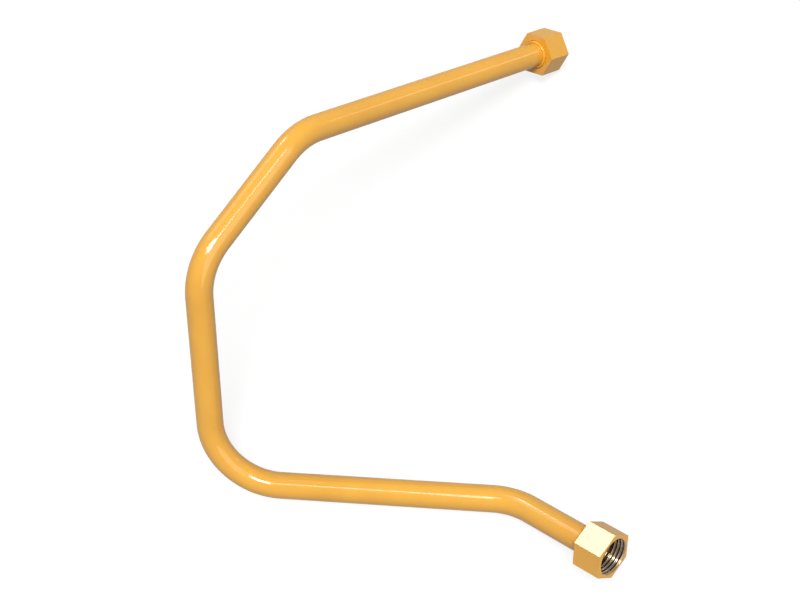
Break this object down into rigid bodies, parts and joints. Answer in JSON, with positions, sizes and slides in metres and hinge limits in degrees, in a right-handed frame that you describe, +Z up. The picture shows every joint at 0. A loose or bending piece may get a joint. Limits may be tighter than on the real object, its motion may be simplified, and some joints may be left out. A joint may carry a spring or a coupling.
{
  "type": "bent tube assembly",
  "caption": "Painted steel tube with compound bends, a rolled flange at each end and a hexagon swivel nut held behind each flange by a support sleeve.",
  "frame": {"origin": "centre of the bounding box in X and Y, on the floor that the part lies on", "axes": "+Z up, +X along the straight run that lies on the floor, towards the short end; +Y towards the long end"},
  "size_m": [0.4063, 0.5948, 0.2166],
  "materials": {
    "yellow_paint": "gloss"
  },
  "bodies": {
    "tube": {"tube": "yellow_paint"},
    "long_end_sleeve": {"long_end_sleeve": "yellow_paint"},
    "long_end_nut": {"long_end_nut": "yellow_paint"},
    "short_end_sleeve": {"short_end_sleeve": "yellow_paint"},
    "short_end_nut": {"short_end_nut": "yellow_paint"}
  },
  "joints": [
    {"name": "long_end_slide", "type": "slide", "parent": "tube", "child": "long_end_sleeve", "axis": [-0.5772, -0.6312, 0.5181], "range_m": [0, 0.305]},
    {"name": "long_end_swivel", "type": "hinge", "parent": "long_end_sleeve", "child": "long_end_nut", "pos_m": [0.09207, 0.26968, 0.02791], "axis": [0.5772, 0.6312, -0.5181], "continuous": true},
    {"name": "short_end_slide", "type": "slide", "parent": "tube", "child": "short_end_sleeve", "axis": [-0.8214, 0.4857, -0.299], "range_m": [0, 0.064]},
    {"name": "short_end_swivel", "type": "hinge", "parent": "short_end_sleeve", "child": "short_end_nut", "pos_m": [0.17847, -0.26975, 0.04257], "axis": [0.8214, -0.4857, 0.299], "continuous": true}
  ]
}
